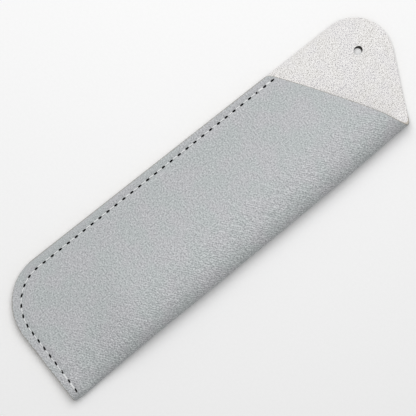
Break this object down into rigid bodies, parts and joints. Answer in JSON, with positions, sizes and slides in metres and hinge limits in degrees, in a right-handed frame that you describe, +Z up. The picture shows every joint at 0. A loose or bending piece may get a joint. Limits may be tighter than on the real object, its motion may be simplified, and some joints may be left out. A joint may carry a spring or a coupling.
{
  "type": "pencil case",
  "caption": "Flat leather pencil sleeve, folded along one side and stitched round the other two, with a slanted mouth and a punched tongue that bends up.",
  "frame": {"origin": "on the surface that the sleeve lies on, under the middle of its outline", "axes": "+Y along the sleeve from the foot to the tip of the tongue, +X towards the fold, +Z up, out of the front"},
  "size_m": [0.0583, 0.1987, 0.0102],
  "materials": {
    "leather": "fine pebbled grain, satin",
    "suede": "suede, matte",
    "thread": "twisted sewing thread, matte"
  },
  "bodies": {
    "sleeve": {"sleeve_leather": "leather", "sleeve_suede": "suede", "needle_thread": "thread", "bobbin_thread": "thread"},
    "tongue": {"tongue_leather": "leather", "tongue_suede": "suede"}
  },
  "joints": [
    {"name": "tongue_bend", "type": "hinge", "parent": "sleeve", "child": "tongue", "pos_m": [-0.00673, 0.0707, 0.0014], "axis": [0.8005, 0.5993, 0], "range_deg": [0, 90], "stiffness_Nm_per_rad": 0.02}
  ]
}
